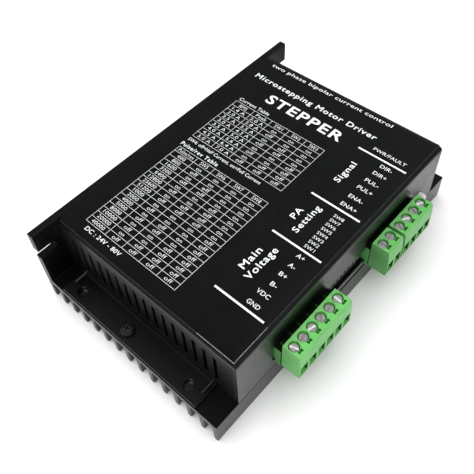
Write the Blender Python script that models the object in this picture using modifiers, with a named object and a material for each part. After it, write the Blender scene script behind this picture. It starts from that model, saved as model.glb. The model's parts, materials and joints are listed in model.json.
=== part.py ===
"""Stepper driver module: finned L-shaped heatsink, folded sheet cover, circuit
board, three pluggable terminal blocks, an eight-way slide switch and a status LED.
Metres, +Z up. Origin at the centre of the bounding box, on the ground plane.
+X runs along the heatsink fins, the terminal blocks face -Y."""
import math

import bmesh
import bpy
from mathutils import Matrix, Vector

MM = 0.001
Y_SHIFT = 5.55          # moves the heatsink frame so that the whole box is centred
GAP = 0.3               # clearance kept between pieces that touch

# heatsink extrusion
LENGTH = 151.0
WIDTH = 95.2
PLATE_TOP = 12.4
PLATE_BOTTOM = 9.6
WALL_HEIGHT = 42.7
WALL_THICK = 3.3
FIN_COUNT = 15
FIN_TIP = 1.8
FIN_ROOT = 2.3
SLOT_HEIGHT = 4.4       # open-ended slots in the upright wall
SLOT_DEPTH = 8.0
SLOT_Z = 31.0

# cover
COVER_HALF_X = 63.8
COVER_FRONT = -47.6
COVER_BACK = 44.0
COVER_BOTTOM = 12.7
COVER_TOP = 43.2
SHEET = 1.2
BEND = 4.2
VENT_COUNT = 16
VENT_PITCH = 5.0
VENT_WIDTH = 1.6
VENT_LOW = 17.7
VENT_HIGH = 35.0
FLANGE_HALF = 37.2
FLANGE_REACH = 75.1
HOLE_X = 70.6
HOLE_Y = 29.97
SCREW_Y = 3.0
WINDOW_LOW = 17.2
WINDOW_HIGH = 26.0
WINDOW_LEFT = -45.1
WINDOW_RIGHT = 46.6

# circuit board
BOARD_TOP = 17.1
BOARD_THICK = 1.6

MOUNTS = ((-56.0, -28.0), (56.0, -28.0), (-56.0, 30.0), (56.0, 30.0))

# terminal blocks
PITCH = 5.08
PLUG_TOP = 29.8
PLUG_BOTTOM = 14.7
HEADER_FRONT = -49.0
HEADER_BACK = -37.6
HEADER_HIGH = 25.7
HEADER_SKIRT = 14.9
POWER_LEFT = -43.36
POWER_REAR = -50.3
SIGNAL_A_LEFT = 12.85
SIGNAL_B_LEFT = 24.40
SIGNAL_REAR = -49.3
PLUG_DEEP = 7.65        # from the rear shoulder to the top front edge
SCREW_BACK = 3.2        # from the rear shoulder to the screw line
BAR_LOW = 21.2          # the fixed contact bar that a wire is clamped against
BAR_HIGH = 21.8
CAGE_TRAVEL = 1.875     # a rising clamp cage moves 0.5 mm for each turn of its screw

# slide switch
SWITCH_CENTRE = -1.05
SWITCH_PITCH = 2.54
SWITCH_FACE = -46.1

LED_X = 51.9
LED_Z = 21.5


def start():
    for obj in list(bpy.data.objects):
        bpy.data.objects.remove(obj, do_unlink=True)
    for name in ("stepper_driver_module", "cutters"):
        coll = bpy.data.collections.new(name)
        bpy.context.scene.collection.children.link(coll)
    return bpy.data.collections["stepper_driver_module"], bpy.data.collections["cutters"]


FLIP = True             # direction of a turned surface

PARTS, CUTTERS = start()
MATERIALS = {}


def material(name, color, rough, metal):
    if name not in MATERIALS:
        mat = bpy.data.materials.new(name)
        mat.use_nodes = True
        bsdf = mat.node_tree.nodes["Principled BSDF"]
        bsdf.inputs["Base Color"].default_value = (*color, 1.0)
        bsdf.inputs["Roughness"].default_value = rough
        bsdf.inputs["Metallic"].default_value = metal
        MATERIALS[name] = mat
    return MATERIALS[name]


ANODISED = ("anodised_black", (0.018, 0.019, 0.020), 0.38, 0.6)
PAINT = ("satin_black_paint", (0.016, 0.017, 0.017), 0.35, 0.0)
FILM = ("label_film", (0.012, 0.013, 0.013), 0.3, 0.0)
GREEN = ("green_plastic", (0.15, 0.47, 0.14), 0.42, 0.0)
STEEL = ("plated_steel", (0.62, 0.62, 0.60), 0.3, 1.0)
BOARD = ("board_green", (0.02, 0.12, 0.05), 0.45, 0.0)
BLACK = ("black_plastic", (0.02, 0.02, 0.02), 0.5, 0.0)
WHITE = ("white_plastic", (0.78, 0.78, 0.74), 0.45, 0.0)
LENS = ("clear_lens", (0.85, 0.88, 0.86), 0.15, 0.0)
SLEEVE = ("capacitor_sleeve", (0.02, 0.03, 0.06), 0.35, 0.0)
BRASS = ("plated_brass", (0.65, 0.60, 0.45), 0.3, 1.0)
SILICONE = ("grey_silicone", (0.35, 0.36, 0.37), 0.7, 0.0)


def at(x, y, z):
    """A point of the heatsink frame in millimetres, in the part's frame in metres."""
    return Vector((x * MM, (y + Y_SHIFT) * MM, z * MM))


def adopt(obj, name, mat):
    obj.name = name
    obj.data.name = name
    for coll in list(obj.users_collection):
        coll.objects.unlink(obj)
    PARTS.objects.link(obj)
    obj.data.materials.clear()
    obj.data.materials.append(material(*mat))
    return obj


def as_cutter(obj, name):
    obj.name = name
    for coll in list(obj.users_collection):
        coll.objects.unlink(obj)
    CUTTERS.objects.link(obj)
    obj.hide_render = True
    obj.display_type = "WIRE"
    return obj


def box_mesh(boxes, origin):
    """One mesh of separate boxes, each given as its low and high corner."""
    mesh = bpy.data.meshes.new("boxes")
    bm = bmesh.new()
    for low, high in boxes:
        a, b = at(*low) - origin, at(*high) - origin
        size, centre = b - a, (a + b) / 2
        matrix = Matrix.Translation(centre) @ Matrix.Diagonal((*size, 1.0))
        bmesh.ops.create_cube(bm, size=1.0, matrix=matrix)
    bm.to_mesh(mesh)
    bm.free()
    return mesh


def box(name, low, high, mat, origin=None, bevel=0.0, segments=2):
    origin = (at(*low) + at(*high)) / 2 if origin is None else origin
    obj = bpy.data.objects.new(name, box_mesh([(low, high)], origin))
    PARTS.objects.link(obj)
    obj.location = origin
    adopt(obj, name, mat)
    if bevel:
        add_bevel(obj, bevel, segments)
    return obj


def box_cutter(name, boxes):
    obj = bpy.data.objects.new(name, box_mesh(boxes, Vector((0, 0, 0))))
    CUTTERS.objects.link(obj)
    return as_cutter(obj, name)


def rod_cutter(name, rods, sides=16):
    """Separate round rods: (centre, axis, radius, length) in the heatsink frame."""
    mesh = bpy.data.meshes.new(name)
    bm = bmesh.new()
    for centre, axis, radius, length in rods:
        turn = {"X": Matrix.Rotation(math.pi / 2, 4, "Y"),
                "Y": Matrix.Rotation(math.pi / 2, 4, "X"),
                "Z": Matrix.Identity(4)}[axis]
        bmesh.ops.create_cone(bm, cap_ends=True, segments=sides, radius1=radius * MM,
                              radius2=radius * MM, depth=length * MM,
                              matrix=Matrix.Translation(at(*centre)) @ turn)
    bm.to_mesh(mesh)
    bm.free()
    obj = bpy.data.objects.new(name, mesh)
    CUTTERS.objects.link(obj)
    return as_cutter(obj, name)


def add_bevel(obj, width, segments=2, angle=40.0):
    mod = obj.modifiers.new("bevel", "BEVEL")
    mod.width = width * MM
    mod.segments = segments
    mod.limit_method = "ANGLE"
    mod.angle_limit = math.radians(angle)
    return mod


def combine(obj, other, operation="DIFFERENCE"):
    mod = obj.modifiers.new(operation.lower(), "BOOLEAN")
    mod.operation = operation
    mod.solver = "EXACT"
    mod.object = other
    return mod


def turned(name, profile, centre, mat, steps=20, axis="Z", shift=0.0):
    """A closed solid of revolution: profile is (radius, height) from the lower
    axis point to the upper one, in millimetres about centre."""
    mesh = bpy.data.meshes.new(name)
    bm = bmesh.new()
    verts = [bm.verts.new((r * MM, 0, h * MM)) for r, h in profile]
    for a, b in zip(verts, verts[1:]):
        bm.edges.new((a, b))
    bm.to_mesh(mesh)
    bm.free()
    obj = bpy.data.objects.new(name, mesh)
    PARTS.objects.link(obj)
    mod = obj.modifiers.new("screw", "SCREW")
    mod.steps = steps
    mod.render_steps = steps
    mod.use_merge_vertices = True
    mod.merge_threshold = 0.00005
    mod.use_normal_calculate = False
    mod.use_normal_flip = FLIP
    obj.location = at(*centre)
    if axis == "-Y":
        obj.rotation_euler = (math.pi / 2, 0, 0)
    if axis == "Y":
        obj.rotation_euler = (-math.pi / 2, 0, 0)
    adopt(obj, name, mat)
    return obj


def extruded(name, outline, start_x, end_x, mat, origin):
    """An outline in the Y-Z plane (heatsink frame, millimetres), drawn as a filled
    2D curve and extruded along X, as a mesh with its caps welded."""
    curve = bpy.data.curves.new(name, "CURVE")
    curve.dimensions = "2D"
    curve.fill_mode = "BOTH"
    curve.extrude = (end_x - start_x) * MM / 2
    spline = curve.splines.new("POLY")
    spline.points.add(len(outline) - 1)
    for point, (y, z) in zip(spline.points, outline):
        p = at(0, y, z) - Vector((0, origin.y, origin.z))
        point.co = (p.y, p.z, 0, 1)
    spline.use_cyclic_u = True
    source = bpy.data.objects.new(name + "_curve", curve)
    PARTS.objects.link(source)
    # local x -> world y, local y -> world z, local z -> world x
    source.matrix_world = Matrix(((0, 0, 1, (start_x + end_x) / 2 * MM),
                                  (1, 0, 0, origin.y),
                                  (0, 1, 0, origin.z),
                                  (0, 0, 0, 1)))
    bpy.context.view_layer.update()
    graph = bpy.context.evaluated_depsgraph_get()
    mesh = bpy.data.meshes.new_from_object(source.evaluated_get(graph))
    bm = bmesh.new()
    bm.from_mesh(mesh)
    bmesh.ops.remove_doubles(bm, verts=bm.verts, dist=0.00001)
    depth = (end_x - start_x) * MM / 2
    caps = [f for f in bm.faces
            if all(abs(abs(v.co.z) - depth) < 1e-7 for v in f.verts)
            and len({v.co.z > 0 for v in f.verts}) == 1]
    bmesh.ops.delete(bm, geom=caps, context="FACES")
    bmesh.ops.holes_fill(bm, edges=[e for e in bm.edges if e.is_boundary], sides=0)
    bmesh.ops.recalc_face_normals(bm, faces=bm.faces)
    bm.transform(Matrix.Translation(-Vector((origin.x, origin.y, origin.z)))
                 @ source.matrix_world)
    bm.to_mesh(mesh)
    bm.free()
    obj = bpy.data.objects.new(name, mesh)
    PARTS.objects.link(obj)
    obj.location = origin
    bpy.data.objects.remove(source, do_unlink=True)
    adopt(obj, name, mat)
    return obj


# ---------------------------------------------------------------- heatsink
def heatsink():
    half = WIDTH / 2
    pitch = (WIDTH - 2.0) / (FIN_COUNT - 1)
    tip, root, chamfer = FIN_TIP / 2, FIN_ROOT / 2, 0.35
    outline = [(-half, 0.0), (-half + 2 * tip - chamfer, 0.0), (-half + 2 * tip, chamfer),
               (-half + 2 * root, PLATE_BOTTOM)]
    for i in range(1, FIN_COUNT - 1):
        y = -half + 1.0 + pitch * i
        outline += [(y - root, PLATE_BOTTOM), (y - tip, chamfer), (y - tip + chamfer, 0.0),
                    (y + tip - chamfer, 0.0), (y + tip, chamfer), (y + root, PLATE_BOTTOM)]
    outline += [(half - 2 * root, PLATE_BOTTOM), (half - 2 * tip, chamfer),
                (half - 2 * tip + chamfer, 0.0), (half, 0.0),
                (half, WALL_HEIGHT - 0.3), (half - 0.3, WALL_HEIGHT),
                (half - WALL_THICK + 0.3, WALL_HEIGHT), (half - WALL_THICK, WALL_HEIGHT - 0.3),
                (half - WALL_THICK, PLATE_TOP), (-half, PLATE_TOP)]
    obj = extruded("heatsink", outline, -LENGTH / 2, LENGTH / 2, ANODISED,
                   at(0, 0, PLATE_TOP))
    end = LENGTH / 2
    radius = SLOT_HEIGHT / 2
    slots = box_cutter("wall_slot_boxes", [
        ((side * (end + 1), half - WALL_THICK - 1, SLOT_Z - radius),
         (side * (end - SLOT_DEPTH + radius), half + 1, SLOT_Z + radius))
        if side < 0 else
        ((end - SLOT_DEPTH + radius, half - WALL_THICK - 1, SLOT_Z - radius),
         (end + 1, half + 1, SLOT_Z + radius)) for side in (-1, 1)])
    combine(obj, slots)
    combine(obj, rod_cutter("wall_slot_ends", [
        ((side * (end - SLOT_DEPTH + radius), half - WALL_THICK / 2, SLOT_Z), "Y", radius - 0.004, 8.0)
        for side in (-1, 1)]))
    rods = [((side * HOLE_X, y, PLATE_TOP - 1), "Z", 2.1, 8.0)
            for side in (-1, 1) for y in (-HOLE_Y, HOLE_Y)]
    rods += [((side * HOLE_X, SCREW_Y, PLATE_TOP - 1), "Z", 1.75, 8.0) for side in (-1, 1)]
    combine(obj, rod_cutter("plate_holes", rods))
    high = BOARD_TOP - BOARD_THICK - GAP
    combine(obj, rod_cutter("board_spacers", [
        ((x, y, (PLATE_TOP - 1 + high) / 2), "Z", 3.2, high - PLATE_TOP + 1) for x, y in MOUNTS]), "UNION")
    combine(obj, rod_cutter("board_spacer_holes", [
        ((x, y, high), "Z", 1.75, 2 * (high - PLATE_TOP) - 0.3) for x, y in MOUNTS], 12))
    combine(obj, rod_cutter("clamp_screw_holes", [
        ((x, half - WALL_THICK, 29.0), "Y", 1.75, 4.6) for x in (-24.0, 24.0)], 12))
    return obj


# ---------------------------------------------------------------- cover
def rounded_shell(name, low, high, radius, segments):
    obj = box(name, low, high, PAINT)
    bm = bmesh.new()
    bm.from_mesh(obj.data)
    top = max(v.co.z for v in bm.verts)
    back = max(v.co.y for v in bm.verts)
    edges = [e for e in bm.edges
             if all(abs(v.co.z - top) < 1e-7 for v in e.verts)
             and not all(abs(v.co.y - back) < 1e-7 for v in e.verts)]
    bmesh.ops.bevel(bm, geom=edges, offset=radius * MM, segments=segments, profile=0.5,
                    affect="EDGES", clamp_overlap=True)
    bm.to_mesh(obj.data)
    bm.free()
    return obj


def cover():
    obj = rounded_shell("cover", (-COVER_HALF_X, COVER_FRONT, COVER_BOTTOM),
                        (COVER_HALF_X, COVER_BACK, COVER_TOP), BEND, 6)
    inner = rounded_shell("cover_inside",
                          (-COVER_HALF_X + SHEET, COVER_FRONT + SHEET, COVER_BOTTOM - 3),
                          (COVER_HALF_X - SHEET, COVER_BACK + 3, COVER_TOP - SHEET),
                          BEND - SHEET, 6)
    inner.data.materials.clear()
    PARTS.objects.unlink(inner)
    CUTTERS.objects.link(inner)
    as_cutter(inner, "cover_inside")
    flanges = []
    for side in (-1, 1):
        a, b = sorted((side * (COVER_HALF_X - 0.6), side * FLANGE_REACH))
        flanges.append(((a, -FLANGE_HALF, COVER_BOTTOM), (b, FLANGE_HALF, COVER_BOTTOM + SHEET)))
    combine(obj, inner)
    combine(obj, box_cutter("cover_flanges", flanges), "UNION")
    vents = []
    for side in (-1, 1):
        a, b = sorted((side * (COVER_HALF_X - SHEET - 1), side * (COVER_HALF_X + 1)))
        for i in range(VENT_COUNT):
            y = (i - (VENT_COUNT - 1) / 2) * VENT_PITCH
            vents.append(((a, y - VENT_WIDTH / 2, VENT_LOW), (b, y + VENT_WIDTH / 2, VENT_HIGH)))
        for y in (-35.7, 35.7):
            a2, b2 = sorted((side * (COVER_HALF_X - SHEET - 1), side * 69.7))
            vents.append(((a2, y - 0.45, COVER_BOTTOM - 1), (b2, y + 0.45, COVER_BOTTOM + 2.2)))
    combine(obj, box_cutter("vent_slots", vents))
    combine(obj, box_cutter("terminal_window", [
        ((WINDOW_LEFT, COVER_FRONT - 1, WINDOW_LOW), (WINDOW_RIGHT, COVER_FRONT + 3, WINDOW_HIGH)),
        ((-42.0, COVER_FRONT - 1, COVER_BOTTOM - 1), (42.0, COVER_FRONT + 3, COVER_BOTTOM + 0.8))]))
    rods = [((side * HOLE_X, y, COVER_BOTTOM), "Z", 2.3, 6.0)
            for side in (-1, 1) for y in (-HOLE_Y, HOLE_Y)]
    rods += [((side * HOLE_X, SCREW_Y, COVER_BOTTOM), "Z", 1.8, 6.0) for side in (-1, 1)]
    rods += [((LED_X, COVER_FRONT, LED_Z), "Y", 1.9, 6.0)]
    combine(obj, rod_cutter("cover_holes", rods))
    return obj


def label():
    return box("label_overlay", (-COVER_HALF_X + BEND, COVER_FRONT + BEND, COVER_TOP + 0.1),
               (COVER_HALF_X - BEND, COVER_BACK - 0.8, COVER_TOP + 0.4), FILM)


# ---------------------------------------------------------------- fasteners
def pan_screw(name, x, y, seat, shank, head=2.8, height=1.9, radius=1.4, mat=STEEL):
    """A pan head screw standing on seat, with a cross recess."""
    obj = turned(name, [(0, -shank), (radius, -shank), (radius, 0), (head, 0),
                        (head, height * 0.55), (head * 0.72, height), (0, height)],
                 (x, y, seat), mat, 16)
    cross = box_cutter(name + "_cross", [
        ((x - head * 0.55, y - 0.35, seat + height - 0.9), (x + head * 0.55, y + 0.35, seat + height + 1))])
    other = box_cutter(name + "_cross_b", [
        ((x - 0.35, y - head * 0.55, seat + height - 0.9), (x + 0.35, y + head * 0.55, seat + height + 1))])
    combine(obj, cross)
    combine(obj, other)
    return obj


# ---------------------------------------------------------------- board


def board():
    obj = box("circuit_board", (-60.5, -46.0, BOARD_TOP - BOARD_THICK), (60.5, 40.5, BOARD_TOP), BOARD)
    combine(obj, rod_cutter("board_holes", [((x, y, BOARD_TOP), "Z", 1.75, 8.0) for x, y in MOUNTS]))
    for i, (x, y) in enumerate(MOUNTS, 1):
        pan_screw(f"board_screw_{i}", x, y, BOARD_TOP + GAP, 4.0)
    return obj


# ---------------------------------------------------------------- terminal blocks
def header(name, left, count, front):
    low = BOARD_TOP + 0.15
    right = left + PITCH * count
    obj = box(name, (left - 0.55, front, low), (right + 0.55, HEADER_BACK, HEADER_HIGH), GREEN)
    # the skirt in front of the cover reaches down to the level of the plug's foot
    combine(obj, box_cutter(name + "_skirt", [
        ((left - 0.55, front, HEADER_SKIRT), (right + 0.55, COVER_FRONT - GAP, low + 0.5))]), "UNION")
    combine(obj, box_cutter(name + "_cavity", [
        ((left + 0.25, front - 1, low + 0.9), (right - 0.25, HEADER_BACK - 2.2, HEADER_HIGH - 0.9))]))
    combine(obj, box_cutter(name + "_keyways", [
        ((left + PITCH * (i + 0.5) - 0.8, front - 1, HEADER_HIGH - 1.2),
         (left + PITCH * (i + 0.5) + 0.8, HEADER_FRONT + 6.0, HEADER_HIGH + 1)) for i in range(count)]))
    pins = [((left + PITCH * (i + 0.5) - 0.5, HEADER_FRONT + 1.5, 20.9),
             (left + PITCH * (i + 0.5) + 0.5, HEADER_BACK - 1.0, 21.9)) for i in range(count)]
    combine(obj, box_cutter(name + "_pins", pins), "UNION")
    return obj


def plug(name, left, count, rear):
    """A pluggable terminal block: a tall body with screw wells, test slots and
    wire funnels, and a tongue with pin sockets that enters the header."""
    right = left + PITCH * count
    front = rear - PLUG_DEEP
    outline = [(rear, PLUG_BOTTOM + 0.5), (rear, 18.55), (HEADER_BACK - 2.9, 18.55),
               (HEADER_BACK - 2.6, 18.85), (HEADER_BACK - 2.6, 24.0), (HEADER_BACK - 2.9, 24.3),
               (rear, 24.3), (rear, PLUG_TOP - 0.2), (rear - 0.2, PLUG_TOP),
               (front + 0.15, PLUG_TOP), (front, PLUG_TOP - 0.15), (front - 0.55, 24.0),
               (front - 0.75, 16.2), (front - 0.35, PLUG_BOTTOM), (rear - 0.5, PLUG_BOTTOM)]
    origin = at((left + right) / 2, rear, 21.4)
    obj = extruded(name, outline, left + 0.02, right - 0.02, GREEN, origin)
    centres = [left + PITCH * (i + 0.5) for i in range(count)]
    side_cut = [((left - 1, rear + 0.001, 17.0), (left + 0.75, HEADER_BACK, 26.0)),
                ((right - 0.75, rear + 0.001, 17.0), (right + 1, HEADER_BACK, 26.0))]
    combine(obj, box_cutter(name + "_tongue_sides", side_cut))
    combine(obj, rod_cutter(name + "_wells",
                            [((x, rear - SCREW_BACK, PLUG_TOP), "Z", 2.15, 7.6) for x in centres]
                            + [], 16))
    combine(obj, box_cutter(name + "_slots", [
        ((x - 1.0, front + 1.15, PLUG_TOP - 3.0), (x + 1.0, front + 1.95, PLUG_TOP + 1)) for x in centres]))
    line = rear - SCREW_BACK
    combine(obj, box_cutter(name + "_funnels", [
        ((x - 1.95, front - 2, 16.0), (x + 1.95, line - 1.8, 21.9)) for x in centres]))
    combine(obj, box_cutter(name + "_chambers", [
        ((x - 1.96, line - 2.0, 18.1), (x + 1.96, line + 2.0, 25.3)) for x in centres]))
    combine(obj, rod_cutter(name + "_necks",
                            [((x, line, 25.7), "Z", 1.5, 2.0) for x in centres], 12))
    combine(obj, box_cutter(name + "_sockets", [
        ((x - 0.9, rear - 0.4, 20.5), (x + 0.9, HEADER_BACK, 22.3)) for x in centres]))
    combine(obj, box_cutter(name + "_contacts", [
        ((x - 0.85, line - 1.7, BAR_LOW), (x + 0.85, line + 2.4, BAR_HIGH)) for x in centres]), "UNION")
    return obj


def clamp_cage(name, x, y):
    """The frame that the screw lifts to clamp a wire under the contact bar; modelled
    closed, with its lower wall just under the bar."""
    obj = box(name, (x - 1.65, y - 1.6, BAR_LOW - 0.9), (x + 1.65, y + 1.6, 25.0), BRASS)
    combine(obj, box_cutter(name + "_window", [
        ((x - 1.15, y - 3, BAR_LOW - 0.3), (x + 1.15, y + 3, 24.0))]))
    combine(obj, rod_cutter(name + "_thread", [((x, y, 24.6), "Z", 1.25, 2.0)], 12))
    return obj


def terminal_screw(name, x, y, angle):
    """A slotted cheese head screw in its well; it turns about its own axis."""
    top, bottom = PLUG_TOP - 0.75, PLUG_TOP - 3.5
    tip = BAR_HIGH + 0.2
    obj = turned(name, [(0, tip - top), (1.0, tip - top), (1.0, bottom - top), (1.75, bottom - top),
                        (1.75, -0.25), (1.5, 0), (0, 0)],
                 (x, y, top), STEEL, 16)
    slot = box_cutter(name + "_slot", [((-0.36, -2.4, -0.95), (0.36, 2.4, 1.0))])
    slot.location = at(x, y, top) - at(0, 0, 0)
    # turn the slot about the screw's own axis
    turn = (Matrix.Translation(at(x, y, top)) @ Matrix.Rotation(math.radians(angle), 4, "Z")
            @ Matrix.Translation(-at(0, 0, 0)))
    slot.matrix_world = turn
    combine(obj, slot)
    return obj


SCREW_TURNS = {"power": (19, 102, 76, 132, 106, 177), "signal": (178, 97, 143, 54, 155, 62)}


def terminals():
    header("power_header", POWER_LEFT, 6, POWER_REAR + GAP)
    header("signal_header_a", SIGNAL_A_LEFT, 2, SIGNAL_REAR + GAP)
    header("signal_header_b", SIGNAL_B_LEFT, 4, SIGNAL_REAR + GAP)
    plug("power_plug", POWER_LEFT, 6, POWER_REAR)
    plug("signal_plug_a", SIGNAL_A_LEFT, 2, SIGNAL_REAR)
    plug("signal_plug_b", SIGNAL_B_LEFT, 4, SIGNAL_REAR)
    for i in range(6):
        x, y = POWER_LEFT + PITCH * (i + 0.5), POWER_REAR - SCREW_BACK
        terminal_screw(f"power_screw_{i + 1}", x, y, SCREW_TURNS["power"][i])
        clamp_cage(f"power_cage_{i + 1}", x, y)
    for i in range(6):
        left = SIGNAL_A_LEFT if i < 2 else SIGNAL_B_LEFT - 2 * PITCH
        x, y = left + PITCH * (i + 0.5), SIGNAL_REAR - SCREW_BACK
        terminal_screw(f"signal_screw_{i + 1}", x, y, SCREW_TURNS["signal"][i])
        clamp_cage(f"signal_cage_{i + 1}", x, y)


# ---------------------------------------------------------------- slide switch
def switch():
    half = SWITCH_PITCH * 4 + 0.7
    obj = box("switch_housing", (SWITCH_CENTRE - half, SWITCH_FACE, BOARD_TOP + 0.3),
              (SWITCH_CENTRE + half, SWITCH_FACE + 5.0, BOARD_TOP + 9.7), BLACK)
    xs = [SWITCH_CENTRE + SWITCH_PITCH * (i - 3.5) for i in range(8)]
    combine(obj, box_cutter("switch_slots", [
        ((x - 0.75, SWITCH_FACE - 1, 20.1), (x + 0.75, SWITCH_FACE + 1.8, 24.9)) for x in xs]))
    for i, x in enumerate(xs, 1):
        box(f"switch_slider_{i}", (x - 0.5, SWITCH_FACE - 1.1, 22.7), (x + 0.5, SWITCH_FACE + 1.4, 24.5), WHITE)
    return obj


def led():
    body = turned("status_led", [(0, -4.2), (1.6, -4.2), (1.6, 1.6), (1.38, 2.4), (0.85, 3.0), (0, 3.25)],
                  (LED_X, COVER_FRONT, LED_Z), LENS, 16, "-Y")
    combine(body, box_cutter("led_foot", [((LED_X - 1.3, COVER_FRONT + 2.4, BOARD_TOP + GAP),
                                           (LED_X + 1.3, COVER_FRONT + 4.0, LED_Z))]), "UNION")
    return body


# ---------------------------------------------------------------- inside
def inside():
    for i, x in enumerate((-46.0, -25.0), 1):
        turned(f"capacitor_{i}", [(0, 0), (7.6, 0), (8.0, 0.5), (8.0, 20.8), (7.6, 21.3), (0, 21.3)],
               (x, -18.0, BOARD_TOP + GAP), SLEEVE, 20)
    for i, x in enumerate((-8.0, 8.0), 1):
        device = box(f"power_stage_{i}", (x - 7.5, 38.7, 21.0), (x + 7.5, 43.0, 36.5), BLACK)
        legs = box_cutter(f"power_stage_legs_{i}", [((x + d - 0.4, 39.0, BOARD_TOP + GAP), (x + d + 0.4, 39.8, 22.0))
                                                    for d in (-5.08, -2.54, 0, 2.54, 5.08)])
        combine(device, legs, "UNION")
    pad = box("thermal_pad", (-29, 43.3, 19.0), (29, 44.0, 38.0), SILICONE)
    bar = box("clamp_bar", (-28, 36.2, 26.0), (28, 38.4, 32.0), STEEL)
    for piece in (pad, bar):
        combine(piece, rod_cutter(piece.name + "_holes",
                                  [((x, 40.0, 29.0), "Y", 1.75, 12.0) for x in (-24.0, 24.0)], 12))
    for i, x in enumerate((-24.0, 24.0), 1):
        turned(f"clamp_screw_{i}", [(0, -9.6), (1.4, -9.6), (1.4, 0), (2.8, 0), (2.8, 1.6), (0, 1.6)],
               (x, 36.2 - GAP, 29.0), STEEL, 12, "-Y")
    box("controller_chip", (-4, 2, BOARD_TOP + GAP), (12, 18, BOARD_TOP + 1.9), BLACK)


def build():
    heatsink()
    cover()
    label()
    board()
    terminals()
    switch()
    led()
    inside()
    for i, side in enumerate((-1, 1), 1):
        pan_screw(f"cover_screw_{i}", side * HOLE_X, SCREW_Y, COVER_BOTTOM + SHEET + GAP, 5.2)


build()
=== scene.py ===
import json
import math

import bmesh
import bpy
from mathutils import Matrix, Vector


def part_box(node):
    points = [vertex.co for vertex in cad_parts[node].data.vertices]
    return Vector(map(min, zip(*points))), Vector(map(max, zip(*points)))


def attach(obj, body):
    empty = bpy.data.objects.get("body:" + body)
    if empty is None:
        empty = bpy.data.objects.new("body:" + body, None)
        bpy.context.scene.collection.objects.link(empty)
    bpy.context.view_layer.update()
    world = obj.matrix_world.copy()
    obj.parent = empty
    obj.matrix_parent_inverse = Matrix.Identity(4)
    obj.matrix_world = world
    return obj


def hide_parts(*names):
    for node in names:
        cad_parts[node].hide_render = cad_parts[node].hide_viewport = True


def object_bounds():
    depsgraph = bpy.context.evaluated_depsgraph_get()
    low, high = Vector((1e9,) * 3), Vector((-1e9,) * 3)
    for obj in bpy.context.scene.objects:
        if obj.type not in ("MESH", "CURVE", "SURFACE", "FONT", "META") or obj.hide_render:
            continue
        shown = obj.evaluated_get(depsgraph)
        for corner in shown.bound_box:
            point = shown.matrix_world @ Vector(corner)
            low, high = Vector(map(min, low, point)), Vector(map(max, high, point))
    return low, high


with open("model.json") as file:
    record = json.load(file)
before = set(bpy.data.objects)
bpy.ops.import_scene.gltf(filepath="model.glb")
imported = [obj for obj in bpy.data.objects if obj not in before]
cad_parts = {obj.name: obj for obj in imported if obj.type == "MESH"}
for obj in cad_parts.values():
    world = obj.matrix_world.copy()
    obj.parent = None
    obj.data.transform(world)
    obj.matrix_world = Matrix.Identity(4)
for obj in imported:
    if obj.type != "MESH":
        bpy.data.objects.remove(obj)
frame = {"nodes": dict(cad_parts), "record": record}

CAD_BOX = [list(corner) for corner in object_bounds()]

# ------------------------------------------------------------------ datums
# Drawing coordinates: millimetres, x along the fins, y from the middle of the
# heatsink's footprint (the terminals face -y), z up from the fin tips.
MM = 0.001
SINK_LOW, SINK_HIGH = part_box("heatsink")
MID_Y = (SINK_LOW.y + SINK_HIGH.y) / 2
FLOOR_Z = SINK_LOW.z
BODY = {node: body for body, nodes in frame["record"]["behaviour"]["bodies"].items()
        for node in nodes}


def at(x, y, z):
    return Vector((x * MM, MID_Y + y * MM, FLOOR_Z + z * MM))


def span(node):
    """A CAD node's low and high corner in drawing coordinates."""
    low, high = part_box(node)
    shift = Vector((0, MID_Y, FLOOR_Z))
    return (low - shift) / MM, (high - shift) / MM


HALF_X = span("heatsink")[1].x
HALF_Y = span("heatsink")[1].y
WALL_TOP = span("heatsink")[1].z
PLATE_TOP = 12.4
PLATE_BOTTOM = 9.6
WALL = 3.3
COVER_LOW, COVER_HIGH = span("cover")
COVER_X = 63.8
COVER_FRONT = COVER_LOW.y
COVER_BACK = COVER_HIGH.y
COVER_BOTTOM = COVER_LOW.z
COVER_TOP = COVER_HIGH.z
FLANGE_X = COVER_HIGH.x
SHEET = 1.2
BEND = 4.2
LABEL_LOW, LABEL_HIGH = span("label_overlay")


# ------------------------------------------------------------------ mesh helpers
def link(obj):
    bpy.context.scene.collection.objects.link(obj)
    return obj


def mesh_object(name, bm, mats=()):
    mesh = bpy.data.meshes.new(name)
    bm.to_mesh(mesh)
    bm.free()
    obj = link(bpy.data.objects.new(name, mesh))
    for mat in mats:
        mesh.materials.append(mat)
    return obj


def settle(obj):
    """Applies every modifier, so that the piece is one plain mesh."""
    bpy.context.view_layer.update()
    graph = bpy.context.evaluated_depsgraph_get()
    mesh = bpy.data.meshes.new_from_object(obj.evaluated_get(graph),
                                           preserve_all_data_layers=True, depsgraph=graph)
    old = obj.data
    obj.modifiers.clear()
    obj.data = mesh
    bpy.data.meshes.remove(old)
    mesh.name = obj.name
    return obj


def soften(obj, width=0.2, segments=2, angle=32.0, clamp=False):
    """Rounds the edges and keeps flat faces flat in shading."""
    obj.data.shade_smooth()
    if width:
        mod = obj.modifiers.new("bevel", "BEVEL")
        mod.width = width * MM
        mod.segments = segments
        mod.limit_method = "ANGLE"
        mod.angle_limit = math.radians(angle)
        mod.use_clamp_overlap = clamp
        mod.miter_outer = "MITER_ARC"
    else:
        obj.data.set_sharp_from_angle(angle=math.radians(angle))
    normals = obj.modifiers.new("normals", "WEIGHTED_NORMAL")
    normals.keep_sharp = True
    normals.weight = 60
    return settle(obj)


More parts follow.
